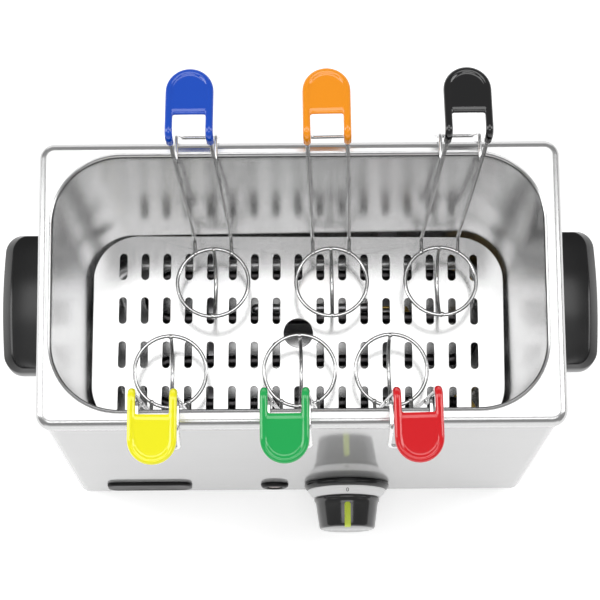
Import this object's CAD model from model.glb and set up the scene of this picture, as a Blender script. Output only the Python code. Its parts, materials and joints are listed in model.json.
import json
import math

import bmesh
import bpy
from mathutils import Matrix, Vector


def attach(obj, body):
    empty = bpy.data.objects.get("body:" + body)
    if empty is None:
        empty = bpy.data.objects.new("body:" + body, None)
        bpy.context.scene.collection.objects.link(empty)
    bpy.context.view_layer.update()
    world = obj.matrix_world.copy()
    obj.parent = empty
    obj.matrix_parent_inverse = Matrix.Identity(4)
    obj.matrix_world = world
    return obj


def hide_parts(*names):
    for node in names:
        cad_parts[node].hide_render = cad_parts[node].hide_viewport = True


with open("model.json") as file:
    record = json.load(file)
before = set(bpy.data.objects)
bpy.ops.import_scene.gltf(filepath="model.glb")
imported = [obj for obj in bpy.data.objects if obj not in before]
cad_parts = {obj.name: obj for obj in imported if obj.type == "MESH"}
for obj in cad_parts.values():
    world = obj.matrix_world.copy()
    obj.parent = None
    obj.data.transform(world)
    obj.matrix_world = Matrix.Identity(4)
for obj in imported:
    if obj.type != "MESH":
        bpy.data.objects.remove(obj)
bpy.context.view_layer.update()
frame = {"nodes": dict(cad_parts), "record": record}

# Sizes are in millimetres, as in the part's source, and turned to metres when a mesh is made.
MM = 0.001

# Housing and rim
HOUSING = (322.0, 176.0)
HOUSING_R = 9.0
HOUSING_LOW = 8.0
LOW_BEND = 1.6
LOW_FLANGE = 12.0
LOW_FLANGE_R = 2.0
TOP_BEND = 4.4
SHEET = 0.8
RIM_Z = 300.0
RIM = (325.0, 181.0)
RIM_FORWARD = 0.9
RIM_R = 10.0
RIM_BEND = 3.2
EDGE_BEND = 5.3
SKIRT_H = 8.0
# Tank
OPENING = (304.0, 159.0)
OPENING_R = 42.0
TANK_SHIFT = -1.2
DRAFT = 3.4
TANK_T = 1.0
FLOOR_BEND = 12.0
TANK_FLOOR = 95.0
# False bottom
PLATE_TOP = 139.2
PLATE_T = 1.5
PLATE_PLACE = (-1.0, 1.0)
PLATE_TURN = -0.6
PLATE_SIZES = {
    "Width": 280.4, "Depth": 135.6, "Corner": 31.0, "Thickness": PLATE_T,
    "Slot width": 5.0, "Slot length": 18.2, "Pitch X": 15.0, "Pitch Y": 30.8, "Hole": 20.0,
}
PLATE_COUNTS = {"Columns": 17, "Rows": 4}
POST_X = 122.0
POST_Y = 31.0
POST_R = 4.0
# Heating tube
TUBE_R = 4.0
TUBE_BEND = 12.0
TUBE_Z = 122.0
RUN_GAP = 29.8
TURN_LEFT = -88.0
TURN_RIGHT = 104.0
COLD_END = (112.0, 78.0)
# Egg holders
WIRE_R = 1.25
RING_R = 24.0
RING_Z = 165.3
RING_Y = 30.4
TILT = 5.9
LEG_GAP = 24.6
LEG_L = 189.0
LEG_O = 28.6
LEG_BEND = 4.5
KINK_Z = 5.7
CRADLE_DEPTH = 23.0
HOOK_O = LEG_O + 2.2
HOOK_OUT = 48.1
HOOK_LOW = 108.0
HOOK_END = (57.5, 115.6)
HOOK_BEND = 3.5
HOOK_BEAD = (1.7, 1.6)
RIM_GAP = 0.3
SLEEVE_R = 2.45
SLEEVE_BELOW = 11.0
GRIP_L = 43.3
BOW_O = LEG_O + GRIP_L - SLEEVE_R - LEG_GAP / 2
WEB_START = 13.3
WEB_HALF = 1.4
DISH = 0.3
# Each holder's place along the rim, its lean and turn in degrees, and its side: 1 is the back
HOLDERS = {
    "blue": (-58.3, -2.8, -0.7, 1),
    "orange": (21.6, -1.5, 0.5, 1),
    "black": (95.0, 2.4, 0.9, 1),
    "yellow": (-86.8, -0.3, -0.7, -1),
    "green": (-0.4, -3.0, -0.5, -1),
    "red": (60.9, 2.0, 1.6, -1),
}
# Front panel
FRONT = -HOUSING[1] / 2
CONTROLS_Z = 39.5
KNOB_X = 33.0
LAMP_X = -18.4
BADGE_X = -107.5
BADGE = (60.0, 26.0)
BADGE_R = 8.0
NUMBER_SIZE = 4.4
NUMBER_PLACE = (25.9, 8.0)
POINTER_W = 4.3
POINTER_DEPTH = 1.2
# Side handles
HANDLE_TOP = 250.0
HANDLE_H = 23.0
HANDLE_L = 90.0
HANDLE_OUT = 28.95
HANDLE_CORNER = 11.0
HANDLE_BOW = 1.8
ARCH_TOP = 1.5
ARCH_ROUND = 16.0
RECESS = (16.0, 62.0)
RECESS_OUT = 15.0


# ---- Materials ----

def linear(code):
    """Turns an sRGB hex colour into linear red, green, blue and alpha."""
    out = []
    for i in (0, 2, 4):
        c = int(code[i:i + 2], 16) / 255
        out.append(c / 12.92 if c <= 0.04045 else ((c + 0.055) / 1.055) ** 2.4)
    return (*out, 1.0)


def add(tree, kind, inputs=None, **settings):
    """Adds a node with its settings, and sets or links each of its inputs."""
    made = tree.nodes.new(kind)
    for name, value in settings.items():
        setattr(made, name, value)
    for name, value in (inputs or {}).items():
        if isinstance(value, bpy.types.NodeSocket):
            tree.links.new(value, made.inputs[name])
        else:
            made.inputs[name].default_value = value
    return made


def surface(name, **values):
    """A new material, with the values given set on its Principled shader's own sockets."""
    made = bpy.data.materials.new(name)
    made.use_nodes = True
    shader = made.node_tree.nodes["Principled BSDF"]
    for key, value in values.items():
        shader.inputs[key.replace("_", " ")].default_value = value
    return made, made.node_tree, shader


def ramp(tree, factor, low, high):
    """Spreads a pattern between two values."""
    return add(tree, "ShaderNodeMapRange",
               {"Value": factor, "From Min": 0.3, "From Max": 0.7,
                "To Min": low, "To Max": high}).outputs["Result"]


def stretched_noise(tree, scale, detail=3.0):
    """Noise in object space, drawn out along the axes whose scale is small."""
    place = add(tree, "ShaderNodeTexCoord").outputs["Object"]
    grain = add(tree, "ShaderNodeMapping", {"Vector": place, "Scale": scale})
    return add(tree, "ShaderNodeTexNoise",
               {"Vector": grain.outputs["Vector"], "Scale": 1.0, "Detail": detail}
               ).outputs["Fac"]


def steel(name, colour, roughness, scale, spread, bump, soft=(6, 6, 6), **more):
    """Stainless steel: fine directional grain in its roughness and a faint slow unevenness."""
    made, tree, shader = surface(name, Base_Color=linear(colour), Metallic=1.0, **more)
    grain = stretched_noise(tree, scale)
    slow = stretched_noise(tree, soft, 1.0)
    both = add(tree, "ShaderNodeMath", {0: grain, 1: slow}, operation="ADD")
    half = add(tree, "ShaderNodeMath", {0: both.outputs[0], 1: 0.5}, operation="MULTIPLY")
    rough = ramp(tree, half.outputs[0], roughness - spread, roughness + spread)
    tree.links.new(rough, shader.inputs["Roughness"])
    relief = add(tree, "ShaderNodeBump", {"Height": grain, "Strength": bump, "Distance": 0.0002})
    tree.links.new(relief.outputs["Normal"], shader.inputs["Normal"])
    return made


def moulded(name, colour, roughness, texture_mm, bump, **more):
    """Moulded or dipped plastic: an even colour, a fine skin texture and slight gloss changes."""
    made, tree, shader = surface(name, Base_Color=linear(colour), **more)
    size = 1.0 / (texture_mm * MM)
    skin = stretched_noise(tree, (size, size, size), 2.0)
    slow = stretched_noise(tree, (30, 30, 30), 2.0)
    rough = ramp(tree, slow, roughness * 0.85, roughness * 1.15)
    tree.links.new(rough, shader.inputs["Roughness"])
    relief = add(tree, "ShaderNodeBump", {"Height": skin, "Strength": bump, "Distance": 0.0001})
    tree.links.new(relief.outputs["Normal"], shader.inputs["Normal"])
    return made


# Brushed stainless sheet: the grain scatters most of the light, and its polished peaks, held in
# the clear lobe, still mirror the knob and the badge when the panel is seen along its face.
housing_steel = steel("brushed_stainless_sheet", "9A9A9A", 0.5, (20, 20, 2500), 0.04, 0.03,
                      Coat_Weight=0.9, Coat_Roughness=0.06)
# Deep-drawn stainless: drawing lines run up the walls and blur reflections into soft streaks.
tank_steel = steel("drawn_stainless", "C6C6C6", 0.24, (2600, 2600, 12), 0.03, 0.003,
                   (45, 45, 3))
# Polished stainless: nearly white, with reflections that stay soft at their edges.
plate_steel = steel("polished_stainless", "C6C6C6", 0.2, (300, 40, 300), 0.04, 0.01)
# Electropolished wire: bright edges with a dark line, and slight drawing marks.
wire_steel = steel("electropolished_wire", "DADADA", 0.16, (700, 700, 700), 0.04, 0.03)
# Plain zinc-plated or stainless fasteners: dull satin.
screw_steel = steel("plain_stainless_screw", "BEBEC0", 0.32, (900, 900, 900), 0.05, 0.1)
# Heating tube after use: dark heat tint over a satin alloy.
tube_steel = steel("heat_tinted_alloy_tube", "4C4A4B", 0.3, (1500, 60, 60), 0.08, 0.08)
# Turned brass fittings: warm yellow with fine tool marks.
brass = steel("turned_brass", "C8A860", 0.28, (1200, 1200, 200), 0.06, 0.1)
# Moulded ABS with a fine spark texture: black with soft wide highlights.
black_plastic = moulded("moulded_black_abs", "060607", 0.2, 0.6, 0.02)
# Knob in satin ABS: the highlights are broad and grey.
knob_plastic = moulded("satin_black_abs", "0C0C0D", 0.2, 0.5, 0.03, Coat_Weight=0.6,
                       Coat_Roughness=0.12)
# Light grey printed dial ring: satin, nearly white.
dial_plastic = moulded("light_grey_abs", "F2F2F2", 0.35, 0.6, 0.03)
# Yellow-green insert, moulded in a second shot: matt.
pointer_plastic = moulded("yellow_green_insert", "C8DC3C", 0.4, 0.5, 0.03)
# Badge and lamp surround: a matt black, dark even where it faces the bright floor.
badge_film = moulded("matt_black_film", "0C0C0D", 0.4, 0.5, 0.02, Specular_IOR_Level=0.2)
# Pad-printed ink: flat dark grey.
print_ink = moulded("dark_grey_print", "3A3A3C", 0.5, 0.3, 0.02)
# Rubber feet and silicone seals: dull, no gloss.
foot_rubber = moulded("black_rubber", "151515", 0.75, 0.8, 0.2)
seal_silicone = moulded("pale_silicone", "D8D5C8", 0.6, 0.8, 0.1)
# Steatite insulators: chalky off-white.
steatite = moulded("steatite_ceramic", "E6E2D6", 0.55, 0.5, 0.15)
# Silicone lead covers: brick red.
lead_cover = moulded("silicone_lead_cover", "9A2A22", 0.5, 0.8, 0.05)
# Amber lens: clear polycarbonate, tinted.
lens = moulded("amber_polycarbonate", "5A2A08", 0.12, 3.0, 0.02, Specular_IOR_Level=0.3)

# Vinyl dipped on wire: saturated, wet-looking and very slightly uneven.
dips = {colour: moulded("dipped_vinyl_" + colour, code, 0.1, 5.0, 0.03, Coat_Weight=0.5)
        for colour, code in (("blue", "0048BC"), ("orange", "F49400"), ("black", "08080A"),
                             ("yellow", "F4EE08"), ("green", "0CA850"), ("red", "D60414"))}

NODE_FINISH = {
    "brass": brass, "screw_steel": screw_steel, "insulator": steatite, "seal": seal_silicone,
    "rubber_black": foot_rubber, "plastic_black": black_plastic, "lead_cover": lead_cover,
    "housing_steel": housing_steel, "tube_steel": tube_steel, "lens_amber": lens,
    "plastic_grey": dial_plastic, "knob_black": knob_plastic,
    "pointer_green": pointer_plastic, "plate_steel": plate_steel,
    "tank_steel": tank_steel, "wire_steel": wire_steel,
    **{"grip_" + colour: dips[colour] for colour in dips},
}


# ---- Mesh helpers ----

def finish_piece(name, mesh, body, material, replaces=(), crease=35, flat=None):
    """Makes an object of a mesh in metres, shades it, and says what it rides on and replaces.

    Faces that look along the axis flat are left flat, so that round edges don't bend their light.
    """
    made = bpy.data.objects.new(name, mesh)
    bpy.context.scene.collection.objects.link(made)
    mesh.materials.clear()
    mesh.materials.append(material)
    mesh.shade_smooth()
    mesh.set_sharp_from_angle(angle=math.radians(crease))
    if flat is not None:
        for face in mesh.polygons:
            if abs(face.normal[flat]) > 0.9999:
                face.use_smooth = False
    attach(made, body)
    if replaces:
        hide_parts(*replaces)


def build(points, faces):
    """A mesh from points in millimetres, with doubles merged and its faces turned outwards."""
    mesh = bpy.data.meshes.new("piece")
    mesh.from_pydata([Vector(p) * MM for p in points], [], faces)
    work = bmesh.new()
    work.from_mesh(mesh)
    bmesh.ops.remove_doubles(work, verts=work.verts, dist=1e-7)
    bmesh.ops.recalc_face_normals(work, faces=work.faces)
    work.to_mesh(mesh)
    work.free()
    return mesh


def settled(data, prepare=None):
    """The plain mesh of an object once the modifiers that prepare puts on it have run."""
    holder = bpy.data.objects.new("settled", data)
    bpy.context.scene.collection.objects.link(holder)
    if prepare:
        prepare(holder)
    graph = bpy.context.evaluated_depsgraph_get()
    copy = bpy.data.meshes.new_from_object(holder.evaluated_get(graph))
    holder.modifiers.clear()
    bpy.data.objects.remove(holder)
    return copy


def softened(mesh, width):
    """The same mesh with its sharp edges rounded, width in millimetres."""
    def round_edges(holder):
        bevel = holder.modifiers.new("edges", "BEVEL")
        bevel.width = width * MM
        bevel.segments = 2
        bevel.limit_method = "ANGLE"
        bevel.angle_limit = math.radians(50)

    return settled(mesh, round_edges)


def grown(tree, values):
    """The plain mesh that a geometry node tree makes from values for its named inputs."""
    def put_on(holder):
        live = holder.modifiers.new("grown", "NODES")
        live.node_group = tree
        for item in tree.interface.items_tree:
            if item.in_out == "INPUT":
                live[item.identifier] = values[item.name]

    return settled(bpy.data.meshes.new("grown"), put_on)


def joined(parts):
    """One set of points and faces from several."""
    points, faces = [], []
    for more_points, more_faces in parts:
        start = len(points)
        points += more_points
        faces += [[i + start for i in face] for face in more_faces]
    return points, faces


def moved(part, matrix):
    """Points and faces after a move."""
    return [tuple(matrix @ Vector(p)) for p in part[0]], part[1]


def in_metres(matrix):
    """The same move for a mesh that is already in metres."""
    out = matrix.copy()
    out.translation = out.translation * MM
    return out


def outline(half_x, half_y, r, z, steps=12, shift=(0.0, 0.0)):
    """The points of a rounded rectangle at height z."""
    points = []
    for k, (sx, sy) in enumerate(((1, 1), (-1, 1), (-1, -1), (1, -1))):
        for i in range(steps + 1):
            a = math.radians(90 * (k + i / steps))
            points.append((shift[0] + sx * (half_x - r) + r * math.cos(a),
                           shift[1] + sy * (half_y - r) + r * math.sin(a), z))
    return points


def loft(rings, caps=(True, True), closed=False):
    """Skins a run of rings with the same count of points, round to the first one if closed."""
    n = len(rings[0])
    points = [p for ring in rings for p in ring]
    faces = []
    for k in range(len(rings) if closed else len(rings) - 1):
        after = (k + 1) % len(rings)
        for i in range(n):
            j = (i + 1) % n
            faces.append([k * n + i, k * n + j, after * n + j, after * n + i])
    if closed:
        return points, faces
    if caps[0]:
        faces.append(list(range(n))[::-1])
    if caps[1]:
        faces.append([(len(rings) - 1) * n + i for i in range(n)])
    return points, faces


def arc(cx, cy, r, a0, a1, steps=8):
    """Points along an arc in a plane, angles in degrees."""
    return [(cx + r * math.cos(math.radians(a0 + (a1 - a0) * i / steps)),
             cy + r * math.sin(math.radians(a0 + (a1 - a0) * i / steps)))
            for i in range(steps + 1)]


def level_arc(cx, cy, r, a0, a1, z, steps=16):
    """An arc at height z."""
    return [(x, y, z) for x, y in arc(cx, cy, r, a0, a1, steps)]


def circle_at(place, u, v, r, sides):
    """A ring of points round a place, in the plane of the directions u and v."""
    return [tuple(place + u * (r * math.cos(2 * math.pi * k / sides))
                  + v * (r * math.sin(2 * math.pi * k / sides))) for k in range(sides)]


def turned(profile, sides=96):
    """A turned part round the Z axis from (radius, height) points, closed at both ends."""
    rings = []
    for r, z in profile:
        rings.append([(r * math.cos(2 * math.pi * i / sides),
                       r * math.sin(2 * math.pi * i / sides), z) for i in range(sides)])
    return loft(rings)


def rounded_path(points, radius, steps=6):
    """A path through points with its corners rounded off."""
    points = [Vector(p) for p in points]
    out = [points[0]]
    for before, here, after in zip(points, points[1:], points[2:]):
        a = (before - here).normalized()
        b = (after - here).normalized()
        half = a.angle(b) / 2
        cut = min(radius / math.tan(half), (before - here).length * 0.49,
                  (after - here).length * 0.49)
        r = cut * math.tan(half)
        middle = here + (a + b).normalized() * (r / math.sin(half))
        start = here + a * cut - middle
        end = here + b * cut - middle
        turn = start.angle(end)
        for i in range(steps + 1):
            t = i / steps
            out.append(middle + (start * math.sin((1 - t) * turn) + end * math.sin(t * turn))
                       / math.sin(turn))
    out.append(points[-1])
    return out


def wire(path, radius, sides=14, loop=False, round_ends=True):
    """A round wire swept along a path without twist. Open ends are domed."""
    path = [Vector(p) for p in path]
    count = len(path)
    tangents = []
    for i in range(count):
        a = path[i - 1] if i > 0 or loop else path[i]
        b = path[(i + 1) % count] if i < count - 1 or loop else path[i]
        tangents.append((b - a).normalized())
    side = tangents[0].orthogonal().normalized()
    frames = []
    for place, along in zip(path, tangents):
        side = (side - along * side.dot(along)).normalized()
        frames.append((place, side.copy(), along.cross(side), along))
    rings = [circle_at(p, u, v, radius, sides) for p, u, v, _ in frames]
    if loop:
        # on these flat loops the frame comes round to where it started
        return loft(rings, closed=True)

    def dome(end, towards, angles):
        p, u, v, t = end
        return [circle_at(p + t * (towards * radius * math.sin(math.radians(a))), u, v,
                          radius * math.cos(math.radians(a)), sides) for a in angles]

    if round_ends:
        rings = dome(frames[0], -1, (80, 55, 30)) + rings + dome(frames[-1], 1, (30, 55, 80))
    return loft(rings)


def on_panel(x):
    """Moves a part that is built along +Z so that it stands out of the front panel."""
    return (Matrix.Translation((x, FRONT, CONTROLS_Z))
            @ Matrix.Rotation(math.radians(90), 4, "X"))


def panel_piece(name, part, x, body, material, replaces):
    """Puts a part on the front panel."""
    finish_piece(name, build(*moved(part, on_panel(x))), body, material, replaces)


# ---- Housing ----

def housing_part():
    """One bent sheet: outside up from the bottom flange, over the top bend and down inside."""
    hx, hy = HOUSING[0] / 2, HOUSING[1] / 2
    top = RIM_Z - TANK_T
    low_end = (-LOW_BEND, HOUSING_LOW + LOW_BEND)
    top_end = (-TOP_BEND, top - TOP_BEND)
    # rings close to each bend keep the flat walls flat in their shading
    wall = [(0, HOUSING_LOW + LOW_BEND + 1), (0, (HOUSING_LOW + top) / 2),
            (0, top - TOP_BEND - 0.4)]
    rings = [outline(hx - LOW_FLANGE, hy - LOW_FLANGE, LOW_FLANGE_R, z)
             for z in (HOUSING_LOW + SHEET, HOUSING_LOW)]
    for o, z in (arc(*low_end, LOW_BEND, -90, 0, 4) + wall
                 + arc(*top_end, TOP_BEND, 0, 90, 6)
                 + arc(*top_end, TOP_BEND - SHEET, 90, 0, 6)
                 + [(-SHEET, HOUSING_LOW + SHEET)]):
        rings.append(outline(hx + o, hy + o, HOUSING_R + o, z))
    return loft(rings, closed=True)


finish_piece("housing_sheet", build(*housing_part()), "housing",
             housing_steel, ("housing_shell",))


# ---- Tank ----

def tank_part():
    """One drawn sheet, from the inside floor over the rim and back underneath."""
    corner = (OPENING[0] / 2 - OPENING_R, OPENING[1] / 2 - OPENING_R)
    shift = (TANK_SHIFT, 0)

    def inner(o, z):
        return outline(corner[0] + o, corner[1] + o, o, z, steps=16, shift=shift)

    def rim(o, z):
        return outline(RIM[0] / 2 - RIM_R + o, RIM[1] / 2 - RIM_R + o, o, z, steps=16,
                       shift=(0, -RIM_FORWARD))

    lean = math.radians(DRAFT)
    bend = (OPENING_R + RIM_BEND, RIM_Z - RIM_BEND)
    top_o = OPENING_R + RIM_BEND * (1 - math.cos(lean))
    top_z = RIM_Z - RIM_BEND * (1 - math.sin(lean))
    low_z = TANK_FLOOR + FLOOR_BEND * (1 - math.sin(lean))
    low_o = top_o - (top_z - low_z) * math.tan(lean)
    floor = (low_o - FLOOR_BEND * math.cos(lean), TANK_FLOOR + FLOOR_BEND)
    wall_in = [((1 - t) * low_o + t * top_o, (1 - t) * low_z + t * top_z)
               for t in (0.04, 0.3, 0.6, 0.97)]
    rings = [inner(floor[0] - 3, TANK_FLOOR)]
    rings += [inner(o, z) for o, z in arc(*floor, FLOOR_BEND, -90, -DRAFT, 10)]
    rings += [inner(o, z) for o, z in wall_in]
    rings += [inner(o, z) for o, z in arc(*bend, RIM_BEND, 180 - DRAFT, 90, 8)]
    rings.append(inner(bend[0] + 0.5, RIM_Z))
    edge = (RIM_R - EDGE_BEND, RIM_Z - EDGE_BEND)
    rings.append(rim(edge[0] - 0.5, RIM_Z))
    rings += [rim(o, z) for o, z in arc(*edge, EDGE_BEND, 90, 0, 12)]
    # the turned-down edge ends in a cut that is slightly rounded
    low = RIM_Z - SKIRT_H
    rings += [rim(RIM_R, edge[1] - 0.6), rim(RIM_R, low + 0.5), rim(RIM_R - 0.15, low + 0.12),
              rim(RIM_R - 0.5, low), rim(RIM_R - 0.85, low + 0.12),
              rim(RIM_R - TANK_T, low + 0.5)]
    rings += [rim(o, z) for o, z in arc(*edge, EDGE_BEND - TANK_T, 0, 90, 8)]
    rings += [inner(o, z) for o, z in arc(*bend, RIM_BEND - TANK_T, 90, 180 - DRAFT, 6)]
    rings += [inner(o, z) for o, z in arc(*floor, FLOOR_BEND + TANK_T, -DRAFT, -90, 10)]
    return loft(rings)


finish_piece("tank_and_rim", build(*tank_part()), "housing", tank_steel,
             ("tank",), crease=50, flat=2)


# ---- False bottom ----

def plate_tree():
    """Geometry nodes: an outline, a grid of slots and a hole, filled in and given thickness."""
    tree = bpy.data.node_groups.new("punched_plate", "GeometryNodeTree")
    tree.interface.new_socket("Geometry", in_out="OUTPUT", socket_type="NodeSocketGeometry")
    for names, kind in ((PLATE_SIZES, "NodeSocketFloat"), (PLATE_COUNTS, "NodeSocketInt")):
        for name in names:
            tree.interface.new_socket(name, in_out="INPUT", socket_type=kind)
    into = tree.nodes.new("NodeGroupInput").outputs

    def maths(operation, a, b):
        return add(tree, "ShaderNodeMath", {0: a, 1: b}, operation=operation).outputs[0]

    def rounded(width, height, radius, count):
        shape = add(tree, "GeometryNodeCurvePrimitiveQuadrilateral",
                    {"Width": width, "Height": height})
        return add(tree, "GeometryNodeFilletCurve",
                   {"Curve": shape.outputs["Curve"], "Radius": radius, "Count": count,
                    "Limit Radius": True}, mode="POLY").outputs["Curve"]

    plate = rounded(into["Width"], into["Depth"], into["Corner"], 14)
    # just under half the width, so that the corners at a slot's end don't meet in one point
    slot_r = maths("MULTIPLY", into["Slot width"], 0.499)
    slot = rounded(into["Slot width"], into["Slot length"], slot_r, 6)
    grid_w = maths("MULTIPLY", into["Pitch X"], maths("SUBTRACT", into["Columns"], 1.0))
    grid_d = maths("MULTIPLY", into["Pitch Y"], maths("SUBTRACT", into["Rows"], 1.0))
    grid = add(tree, "GeometryNodeMeshGrid",
               {"Size X": grid_w, "Size Y": grid_d, "Vertices X": into["Columns"],
                "Vertices Y": into["Rows"]}).outputs["Mesh"]
    # the middle slot of the two middle rows gives way to the lifting hole
    place = add(tree, "GeometryNodeInputPosition").outputs[0]
    away = add(tree, "ShaderNodeVectorMath", {0: place}, operation="LENGTH").outputs["Value"]
    middle = add(tree, "FunctionNodeCompare",
                 {0: away, 1: maths("MULTIPLY", into["Pitch Y"], 0.51)},
                 data_type="FLOAT", operation="LESS_THAN").outputs["Result"]
    across = add(tree, "ShaderNodeSeparateXYZ", {0: place}).outputs["X"]
    centred = add(tree, "FunctionNodeCompare",
                  {0: maths("ABSOLUTE", across, 0.0), 1: maths("MULTIPLY", into["Pitch X"], 0.4)},
                  data_type="FLOAT", operation="LESS_THAN").outputs["Result"]
    both = add(tree, "FunctionNodeBooleanMath", {0: middle, 1: centred}, operation="AND")
    kept = add(tree, "GeometryNodeDeleteGeometry",
               {"Geometry": grid, "Selection": both.outputs[0]}, domain="POINT")
    slots = add(tree, "GeometryNodeInstanceOnPoints",
                {"Points": kept.outputs[0], "Instance": slot})
    real = add(tree, "GeometryNodeRealizeInstances", {"Geometry": slots.outputs[0]})
    hole = add(tree, "GeometryNodeCurvePrimitiveCircle",
               {"Radius": maths("MULTIPLY", into["Hole"], 0.5), "Resolution": 48})
    outlines = add(tree, "GeometryNodeJoinGeometry")
    for one in (hole.outputs["Curve"], real.outputs[0], plate):
        tree.links.new(one, outlines.inputs[0])
    face = add(tree, "GeometryNodeFillCurve", {"Curve": outlines.outputs[0]})
    down = add(tree, "ShaderNodeCombineXYZ",
               {"Z": maths("MULTIPLY", into["Thickness"], -1.0)}).outputs[0]
    body = add(tree, "GeometryNodeExtrudeMesh",
               {"Mesh": face.outputs[0], "Offset": down, "Individual": False}, mode="FACES")
    flipped = add(tree, "GeometryNodeFlipFaces", {"Mesh": face.outputs[0]})
    shell = add(tree, "GeometryNodeJoinGeometry")
    for one in (body.outputs["Mesh"], flipped.outputs[0]):
        tree.links.new(one, shell.inputs[0])
    closed = add(tree, "GeometryNodeMergeByDistance",
                 {"Geometry": shell.outputs[0], "Distance": 0.000001})
    solid = add(tree, "GeometryNodeRealizeInstances", {"Geometry": closed.outputs[0]})
    painted = add(tree, "GeometryNodeSetMaterial",
                  {"Geometry": solid.outputs[0], "Material": plate_steel})
    tree.links.new(painted.outputs[0], tree.nodes.new("NodeGroupOutput").inputs[0])
    return tree


def false_bottom_mesh():
    """The punched plate with its four posts, laid in the tank."""
    sizes = {name: size * MM for name, size in PLATE_SIZES.items()}
    plate = softened(grown(plate_tree(), {**sizes, **PLATE_COUNTS}), width=0.3)
    plate.transform(Matrix.Translation((0, 0, PLATE_TOP * MM)))
    low, high = TANK_FLOOR + 0.3, PLATE_TOP - PLATE_T + 0.05
    profile = [(2.5, low), (3.6, low + 0.2), (POST_R, low + 0.8), (POST_R, high)]
    post = turned(profile, sides=32)
    posts = build(*joined([moved(post, Matrix.Translation((x, y, 0)))
                           for x in (-POST_X, POST_X) for y in (-POST_Y, POST_Y)]))
    work = bmesh.new()
    work.from_mesh(plate)
    work.from_mesh(posts)
    work.to_mesh(plate)
    work.free()
    plate.transform(in_metres(Matrix.Translation((*PLATE_PLACE, 0))
                              @ Matrix.Rotation(math.radians(PLATE_TURN), 4, "Z")))
    return plate


finish_piece("false_bottom_plate", false_bottom_mesh(), "false_bottom",
             plate_steel, ("false_bottom",), crease=30, flat=2)


# ---- Heating tube ----

def heating_tube():
    """Four runs under the slots, with both cold ends bent down through the tank's floor."""
    half, outer = RUN_GAP / 2, 1.5 * RUN_GAP
    end_x, end_z = COLD_END
    # the outer runs stop short of their turns, so that no point comes twice
    start = [(end_x, -outer, end_z), (end_x, -outer, TUBE_Z), (TURN_LEFT + 8, -outer, TUBE_Z)]
    finish = [(x, outer, z) for x, y, z in reversed(start)]
    path = rounded_path(start, TUBE_BEND, steps=10)
    path += level_arc(TURN_LEFT, -RUN_GAP, half, -90, -270, TUBE_Z)
    path += level_arc(TURN_RIGHT, 0, half, -90, 90, TUBE_Z)
    path += level_arc(TURN_LEFT, RUN_GAP, half, -90, -270, TUBE_Z)
    path += rounded_path(finish, TUBE_BEND, steps=10)
    return wire(path, TUBE_R, sides=24, round_ends=False)


finish_piece("heating_tube", build(*heating_tube()), "housing", tube_steel,
             ("heating_element",), crease=40)


# ---- Egg holders ----

def over_rim(o):
    """Height, in a holder's own leaning frame, of a wire that lies just above the rim."""
    tilt = math.radians(TILT)
    return (RIM_Z + RIM_GAP + WIRE_R - RING_Z + o * math.sin(tilt)) / math.cos(tilt)


def hung(colour):
    """Where a holder hangs: the same turns as in the part's source."""
    x, lean, turn, side = HOLDERS[colour]
    a = math.radians(abs(lean))
    lift = LEG_GAP / 2 * math.sin(a) + over_rim(HOOK_O) * (1 - math.cos(a))
    place = Matrix.Translation((x, side * RING_Y, RING_Z + lift))
    if side < 0:
        place = place @ Matrix.Diagonal((1, -1, 1, 1))
    return (place @ Matrix.Rotation(math.radians(lean), 4, "Y")
            @ Matrix.Rotation(math.radians(-TILT), 4, "X")
            @ Matrix.Rotation(math.radians(side * turn), 4, "Z"))


def weld_bead(place, size=(1.8, 1.5)):
    """A small bead, size being its radius and half its height."""
    profile = [(size[0] * math.cos(math.radians(a)), size[1] * math.sin(math.radians(a)))
               for a in (-85, -60, -30, 0, 30, 60, 85)]
    return moved(turned(profile, sides=12), Matrix.Translation(place))


def grip_loop(start):
    """Up one leg from its start, round the end of the grip and down the other leg."""
    half = LEG_GAP / 2
    left = rounded_path([*start, (-half, LEG_O, LEG_L), (-half, BOW_O, LEG_L)], LEG_BEND)
    right = [Vector((-p.x, p.y, p.z)) for p in reversed(left)]
    return left + level_arc(0, BOW_O, half, 180, 0, LEG_L, 24)[1:-1] + right


def holder_wires():
    """The frame: legs with the grip's bow, egg ring, cradle and rim hook, with weld beads."""
    half = LEG_GAP / 2
    # legs and cradle end inside the ring's wire, and beads cover the welds
    weld_o = math.sqrt(RING_R ** 2 - half ** 2)
    parts = [wire(grip_loop([(-half, weld_o, 0.4), (-half, LEG_O, KINK_Z)]), WIRE_R)]
    ring = circle_at(Vector(), Vector((1, 0, 0)), Vector((0, 1, 0)), RING_R, 72)
    parts.append(wire(ring, WIRE_R, loop=True))
    span = RING_R - 0.5
    cradle_r = (span ** 2 + CRADLE_DEPTH ** 2) / (2 * CRADLE_DEPTH)
    up = cradle_r - CRADLE_DEPTH
    start = math.degrees(math.atan2(up, span))
    sweep = arc(0, up, cradle_r, 180 + start, 360 - start, 36)
    parts.append(wire([(0, y, z) for y, z in sweep], WIRE_R))
    hook = [(-half, HOOK_O, HOOK_LOW), (-half, HOOK_O, over_rim(HOOK_O)),
            (-half, HOOK_OUT, over_rim(HOOK_OUT)), (-half, *HOOK_END)]
    hook += [(-x, y, z) for x, y, z in reversed(hook)]
    parts.append(wire(rounded_path(hook, HOOK_BEND), WIRE_R))
    for x in (-half, half):
        parts.append(weld_bead((x, weld_o, 0.5)))
        for z in (HOOK_LOW + 1, HOOK_LOW + 6):
            parts.append(weld_bead((x, (LEG_O + HOOK_O) / 2, z), HOOK_BEAD))
    for y in (-span, span):
        parts.append(weld_bead((0, y, 0)))
    return joined(parts)


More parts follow.
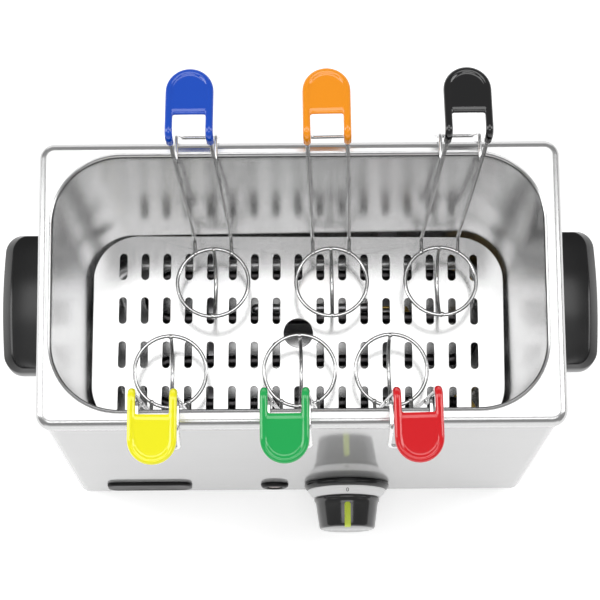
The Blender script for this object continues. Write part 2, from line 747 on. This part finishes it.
def holder_grip():
    """The dipped grip: sleeve and web melted together, then smoothed as the vinyl flows."""
    half = LEG_GAP / 2
    sleeve = wire(grip_loop([(-half, LEG_O, LEG_L - SLEEVE_BELOW)]), SLEEVE_R, sides=20)
    # the vinyl web thins and rounds over towards its free edge
    free = LEG_O + WEB_START
    rows = [(free, 0.3), (free + 0.4, 0.85), (free + 1.2, 1.25), (free + 2.2, 1.5),
            (free + 3.4, 1.66)]
    rows += [(BOW_O + half * k / 12, WEB_HALF) for k in range(12)]
    rings = []
    for o, thick in rows:
        past = max(0.0, o - BOW_O)
        wide = math.sqrt(half ** 2 - past ** 2)
        upper = []
        for k in range(13):
            x = wide * (k / 6 - 1)
            # the cooling vinyl is drawn up towards the wire, so the web is slightly dished
            outward = math.hypot(x, past) / half
            upper.append((x, o, LEG_L + thick + DISH * outward ** 2))
        lower = [(x, o, 2 * LEG_L - z) for x, o, z in reversed(upper)]
        rings.append(lower + upper)

    def melt_and_flow(holder):
        melt = holder.modifiers.new("melt", "REMESH")
        melt.mode = "VOXEL"
        melt.voxel_size = 0.42 * MM
        flow = holder.modifiers.new("flow", "SMOOTH")
        flow.factor = 0.5
        flow.iterations = 14

    return settled(build(*joined([sleeve, loft(rings)])), melt_and_flow)


wires = holder_wires()
grip = holder_grip()
for colour in HOLDERS:
    place = hung(colour)
    body = "holder_" + colour
    finish_piece(f"wires_{colour}", build(*moved(wires, place)), body,
                 wire_steel, (f"holder_{colour}_frame",))
    dipped = grip.copy()
    dipped.transform(in_metres(place))
    if place.determinant() < 0:
        dipped.flip_normals()
    finish_piece(f"grip_{colour}", dipped, body, dips[colour],
                 (f"holder_{colour}_grip",), crease=180)


# ---- Knob, dial and collar ----

# Profiles here and below are pairs of a radius and a distance out of the panel.
collar = [(6, 0), (29.4, 0), (29.9, 0.5), (30, 1.2), (30, 2.9), (29.7, 3.6), (28.6, 4.7),
          (28, 5), (6, 5)]
panel_piece("collar_ring", turned(collar), KNOB_X, "housing", black_plastic,
            ("knob_collar",))

DIAL_FOOT = (27.8, 5.5)
DIAL_EDGE = (23.9, 10.5)
dial = [(25.8, 5), (27.6, 5), (27.8, 5.15), DIAL_FOOT, DIAL_EDGE, (23.5, 10.7), (6, 10.7),
        (6, 8.7), (21.7, 8.7)]
panel_piece("dial", turned(dial), KNOB_X, "housing", dial_plastic,
            ("dial_ring",))

knob = [(0.05, 11), (22.6, 11), (23.2, 11.2), (23.4, 11.7), (23.35, 12.8), (22.9, 13.6),
        (22.35, 14.4), (22.1, 15.6), (21.9, 17), (19.95, 31), (19.6, 32.1), (19.0, 32.75),
        (18.2, 33), (0.05, 33)]
panel_piece("knob_cap", turned(knob), KNOB_X, "knob", knob_plastic, ("knob",))


def pointer_part():
    """The line along the knob's upper side, rounded at its inner end and bent over the face."""
    half = POINTER_W / 2
    # just proud of the knob's side, then over its edge and along its face
    rows = ((22.01, 18.0), (20.08, 32.0), (18.6, 33.1), (13.0, 33.25))
    bar = loft([[(-half, y, out), (half, y, out),
                 (half, y - POINTER_DEPTH, out - 1), (-half, y - POINTER_DEPTH, out - 1)]
                for y, out in rows])
    round_end = [(x, 22.0, out) for x, out in arc(0, 18.0, half, 180, 360, 12)]
    under = [(x, y - POINTER_DEPTH, out) for x, y, out in round_end]
    return joined([loft([round_end, under]), bar])


pointer = softened(build(*moved(pointer_part(), on_panel(KNOB_X))), width=0.25)
finish_piece("pointer_line", pointer, "knob", pointer_plastic,
             ("knob_pointer",))


def dial_numbers():
    """Plain numbers just proud of the dial's slope: 0 at the top, then on clockwise."""
    slope = math.atan2(DIAL_FOOT[0] - DIAL_EDGE[0], DIAL_EDGE[1] - DIAL_FOOT[1])
    work = bmesh.new()
    for number, angle in ((0, 0), (30, -95), (50, -135), (70, -175), (90, -215), (110, -255)):
        digits = bpy.data.curves.new("number", "FONT")
        digits.body = str(number)
        digits.size = NUMBER_SIZE * MM
        digits.align_x = "CENTER"
        digits.align_y = "CENTER"
        digits.extrude = 0.02 * MM
        mesh = settled(digits)
        mesh.transform(Matrix.Rotation(math.radians(angle), 4, "Z")
                       @ Matrix.Translation((0, NUMBER_PLACE[0] * MM, NUMBER_PLACE[1] * MM))
                       @ Matrix.Rotation(slope - math.radians(90), 4, "X")
                       @ Matrix.Rotation(math.radians(180), 4, "Z"))
        work.from_mesh(mesh)
    out = bpy.data.meshes.new("numbers")
    work.to_mesh(out)
    work.free()
    out.transform(in_metres(on_panel(KNOB_X)))
    return out


finish_piece("dial_numbers", dial_numbers(), "housing", print_ink, crease=30)


# ---- Lamp and blank badge ----

bezel = [(5.6, 0), (9.6, 0), (9.8, 0.2), (9.8, 1.2), (9.5, 1.9), (8.6, 2.7), (7.9, 3),
         (6.6, 3), (6.0, 2.6), (5.6, 1.8)]
panel_piece("lamp_surround", turned(bezel, sides=64), LAMP_X, "housing",
            badge_film, ("lamp_bezel",))

glass = [(0.05, -8), (5.5, -8), (5.5, 1.4), (5.1, 1.9), (3.8, 2.45), (2.0, 2.7), (0.05, 2.8)]
panel_piece("lamp_cover", turned(glass, sides=48), LAMP_X, "housing", lens,
            ("lamp_lens",))


def badge_part():
    """A blank plate with rounded edges and a shallow sunk face."""
    steps = ((0.4, 0), (0, 0.3), (0, 1.3), (0.25, 1.8), (0.8, 2.2), (1.6, 2.4), (3.0, 2.4),
             (3.3, 2.25), (3.7, 2.2))
    return loft([outline(BADGE[0] / 2 - inset, BADGE[1] / 2 - inset, BADGE_R - inset * 0.8, z)
                 for inset, z in steps])


panel_piece("blank_badge", badge_part(), BADGE_X, "housing", badge_film,
            ("front_badge",))


# ---- Side handles ----

def handle_part():
    """Right-hand handle: bowed outer side, bevelled upper edge, arched top."""
    x0, low, top = HOUSING[0] / 2, HANDLE_TOP - HANDLE_H, HANDLE_TOP
    half = HANDLE_L / 2

    def ring(inset, z, arch=0.0):
        # the long outer edge is bevelled, the two ends are only rounded
        reach, end = HANDLE_OUT - inset, half - inset * 0.3
        corner, corner_y = HANDLE_CORNER - inset * 0.5, HANDLE_CORNER - inset * 0.15
        middle = end - corner_y
        outer = [(reach, 2 * middle * k / 16 - middle) for k in range(1, 16)]
        bend = [(reach - corner + corner * math.cos(math.radians(a)),
                 middle + corner_y * math.sin(math.radians(a))) for a in range(0, 91, 10)]
        front = [(x, -y) for x, y in reversed(bend)]
        outer = front + outer + bend
        inner = [(0, y) for x, y in reversed(outer)]
        loop = []
        for x, y in outer + inner:
            bow = HANDLE_BOW * (y / half) ** 2 * (x / HANDLE_OUT)
            # bowed over the middle, then falling away evenly towards both ends
            past = abs(y - ARCH_TOP)
            drop = past ** 2 / (2 * ARCH_ROUND) if past < ARCH_ROUND else past - ARCH_ROUND / 2
            loop.append((x0 + x - bow, y, z - arch * drop / half))
        return loop

    rings = [ring(1.2, low), ring(0.4, low + 0.4), ring(0, low + 1.4),
             ring(0, top - 7.0, 3.4), ring(0.3, top - 6.2, 4.0), ring(5.2, top - 0.9, 5.2),
             ring(5.8, top - 0.3, 5.2), ring(6.8, top, 5.2)]
    points, faces = loft(rings, (True, False))
    n = len(rings[0])
    start = len(points) - n
    # strips across the top, so that its arch runs right up to the housing
    faces += [[start + i, start + i + 1, start + n - 2 - i, start + n - 1 - i]
              for i in range(n // 2 - 1)]
    return points, faces


def handle_mesh(side):
    """A handle with its finger recess cut in from below, on the left for a side of -1."""
    low = HANDLE_TOP - HANDLE_H
    middle = (HOUSING[0] / 2 + RECESS_OUT, 0)
    rings = []
    for inset, z in ((-1.2, low - 1), (-1.2, low), (-0.3, low + 0.4), (0, low + 1.4),
                     (0, low + 12), (1, low + 14), (3, low + 15)):
        rings.append(outline(RECESS[0] / 2 - inset, RECESS[1] / 2 - inset, 5 - min(inset, 3), z,
                             steps=6, shift=middle))
    cutter = bpy.data.objects.new("recess", build(*loft(rings)))
    bpy.context.scene.collection.objects.link(cutter)

    def cut_recess(holder):
        cut = holder.modifiers.new("recess", "BOOLEAN")
        cut.object = cutter
        cut.operation = "DIFFERENCE"
        cut.solver = "EXACT"

    out = settled(build(*handle_part()), cut_recess)
    bpy.data.objects.remove(cutter)
    if side < 0:
        out.transform(Matrix.Diagonal((-1, 1, 1, 1)))
        out.flip_normals()
    return out


for name, side in (("left", -1), ("right", 1)):
    finish_piece(f"grip_handle_{name}", handle_mesh(side), "housing",
                 black_plastic, (f"handle_{name}",), crease=40)


# ---- Finishes of the CAD nodes that stay ----

slots = {s["node"]: s["material_slot"] for s in frame["record"]["subparts"]}
for name, node in frame["nodes"].items():
    node.data.materials.clear()
    node.data.materials.append(NODE_FINISH[slots[name]])


# ---- Floor, light and camera ----

def stage_floor(half=6):
    """White paper sweep: matt, and lifted to white where the camera or a reflection sees it."""
    mesh = bpy.data.meshes.new("floor")
    mesh.from_pydata([(-half, -half, 0), (half, -half, 0), (half, half, 0), (-half, half, 0)],
                     [], [(0, 1, 2, 3)])
    floor = bpy.data.objects.new("floor", mesh)
    bpy.context.scene.collection.objects.link(floor)
    paper, tree, shader = surface("white_paper_sweep", Base_Color=linear("EDEDED"),
                                  Roughness=0.9)
    rays = add(tree, "ShaderNodeLightPath").outputs
    seen = add(tree, "ShaderNodeMath", {0: rays["Is Camera Ray"], 1: 0.5}, operation="MULTIPLY")
    mirrored = add(tree, "ShaderNodeMath",
                   {0: rays["Is Glossy Ray"], 1: rays["Is Transmission Ray"]},
                   operation="MAXIMUM")
    lift = add(tree, "ShaderNodeMath", {0: mirrored.outputs[0], 1: 0.55, 2: seen.outputs[0]},
               operation="MULTIPLY_ADD")
    shader.inputs["Emission Color"].default_value = (1, 1, 1, 1)
    tree.links.new(lift.outputs[0], shader.inputs["Emission Strength"])
    mesh.materials.append(paper)


def softbox(name, place, target, size, radiance):
    """A rectangular lamp that looks at a target, as bright in a mirror as its radiance says."""
    lamp = bpy.data.lights.new(name, "AREA")
    lamp.shape = "RECTANGLE"
    lamp.size, lamp.size_y = size
    lamp.energy = radiance * math.pi * size[0] * size[1]
    made = bpy.data.objects.new(name, lamp)
    made.location = place
    made.rotation_euler = (Vector(target) - Vector(place)).to_track_quat("-Z", "Y").to_euler()
    bpy.context.scene.collection.objects.link(made)


stage_floor()
softbox("overhead", (0, 0.35, 1.95), (0, 0.35, 0), (1.5, 0.7), 2.3)
softbox("over_camera", (0, -0.56, 1.95), (0, -0.4, 0), (1.6, 0.4), 2.6)
softbox("front_card", (0, -1.9, 0.5), (0, 0, 0.2), (3.2, 1.0), 0.85)
softbox("back_card", (0, 2.3, 0.5), (0, 0, 0.2), (3.2, 1.0), 0.9)
softbox("left_box", (-1.37, 0.15, 1.0), (0, 0, 0.1), (0.55, 1.5), 3.6)
softbox("right_box", (1.35, 0.15, 1.15), (0, 0, 0.1), (0.5, 1.2), 3.6)

world = bpy.data.worlds.new("studio")
world.use_nodes = True
bpy.context.scene.world = world
background = world.node_tree.nodes["Background"]
background.inputs["Color"].default_value = (1, 1, 1, 1)
# white behind the object, a dim room for everything that mirrors it
seen_directly = add(world.node_tree, "ShaderNodeLightPath").outputs["Is Camera Ray"]
strength = add(world.node_tree, "ShaderNodeMapRange",
               {"Value": seen_directly, "To Min": 0.38, "To Max": 1.0}).outputs["Result"]
world.node_tree.links.new(strength, background.inputs["Strength"])

# The camera: its focal length and principal point in pixels of a picture PICTURE pixels wide,
# its angles, and its place in metres
PICTURE = 600
FOCAL = 2375.16
DOWN = math.radians(77.766)
YAW = math.radians(0.923)
ROLL = math.radians(-0.469)
CENTRE = (296.517, 322.103)
EYE = (-0.00772, -0.33491, 1.72365)
forward = Vector((math.sin(YAW) * math.cos(DOWN), math.cos(YAW) * math.cos(DOWN),
                  -math.sin(DOWN)))
level = Vector((math.cos(YAW), -math.sin(YAW), 0))
upward = level.cross(forward)
right = level * math.cos(ROLL) - upward * math.sin(ROLL)
up = upward * math.cos(ROLL) + level * math.sin(ROLL)
lens_data = bpy.data.cameras.new("camera")
lens_data.lens = FOCAL / PICTURE * lens_data.sensor_width
lens_data.shift_x = 0.5 - CENTRE[0] / PICTURE
lens_data.shift_y = CENTRE[1] / PICTURE - 0.5
camera = bpy.data.objects.new("camera", lens_data)
turn = Matrix((right, up, -forward)).transposed()
camera.matrix_world = Matrix.Translation(EYE) @ turn.to_4x4()
bpy.context.scene.collection.objects.link(camera)
bpy.context.scene.camera = camera
bpy.context.scene.view_settings.view_transform = "Standard"
